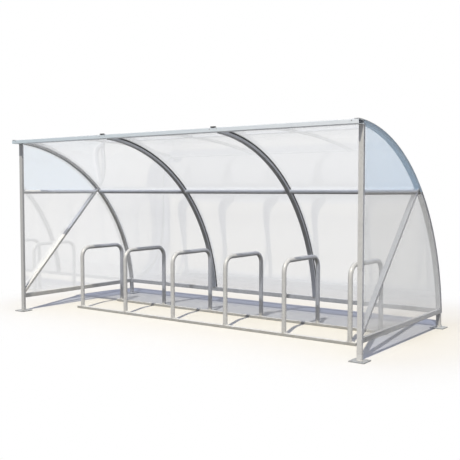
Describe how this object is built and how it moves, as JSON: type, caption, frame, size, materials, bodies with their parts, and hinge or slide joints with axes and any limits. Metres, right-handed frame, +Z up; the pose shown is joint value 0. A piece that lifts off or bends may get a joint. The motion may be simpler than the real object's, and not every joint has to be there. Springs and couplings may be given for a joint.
{
  "type": "bike shelter",
  "caption": "Open-fronted bike shelter: curved clear sheets on an arched tube frame with braced, glazed ends, over a low rack of hoops for parking bicycles.",
  "frame": {"origin": "middle of the footprint, on the ground", "axes": "+X along the length, to the right seen from the open front; +Y from the open front to the back; +Z up"},
  "size_m": [4.71, 2.1158, 2.1004],
  "materials": {
    "frame_steel": "matt galvanised tube",
    "rack_steel": "satin galvanised tube",
    "clear_roof_sheet": "clear glossy plastic sheet",
    "clear_upper_end_sheet": "clear glossy plastic sheet with a faint blue cast",
    "clear_lower_end_sheet": "clear glossy plastic sheet",
    "strip_aluminium": "mill finish flat strip",
    "seal_rubber": "matt black rubber"
  },
  "bodies": {
    "root": {"front_post_left": "frame_steel", "front_post_right": "frame_steel", "front_beam": "frame_steel", "rib_left_end": "frame_steel", "rib_left_inner": "frame_steel", "rib_right_inner": "frame_steel", "rib_right_end": "frame_steel", "mid_rail_left_bay": "frame_steel", "mid_rail_centre_bay": "frame_steel", "mid_rail_right_bay": "frame_steel", "mid_rail_left_end": "frame_steel", "mid_rail_right_end": "frame_steel", "brace_left": "frame_steel", "brace_right": "frame_steel", "bottom_rail_rear": "frame_steel", "bottom_rail_left_end": "frame_steel", "bottom_rail_right_end": "frame_steel", "base_plate_front_left": "frame_steel", "base_plate_front_right": "frame_steel", "base_plate_rear_left": "frame_steel", "base_plate_rear_right": "frame_steel", "rack_rail_front": "rack_steel", "rack_rail_rear": "rack_steel", "rack_hoop_1": "rack_steel", "rack_hoop_2": "rack_steel", "rack_hoop_3": "rack_steel", "rack_hoop_4": "rack_steel", "rack_hoop_5": "rack_steel", "rack_hoop_6": "rack_steel", "roof_sheet_left_bay": "clear_roof_sheet", "roof_sheet_centre_bay": "clear_roof_sheet", "roof_sheet_right_bay": "clear_roof_sheet", "end_sheet_upper_left": "clear_upper_end_sheet", "end_sheet_upper_right": "clear_upper_end_sheet", "end_sheet_lower_left": "clear_lower_end_sheet", "end_sheet_lower_right": "clear_lower_end_sheet", "cover_strip_left_end": "strip_aluminium", "cover_strip_left_inner": "strip_aluminium", "cover_strip_right_inner": "strip_aluminium", "cover_strip_right_end": "strip_aluminium", "seal_left_inner": "seal_rubber", "seal_right_inner": "seal_rubber"}
  },
  "joints": []
}
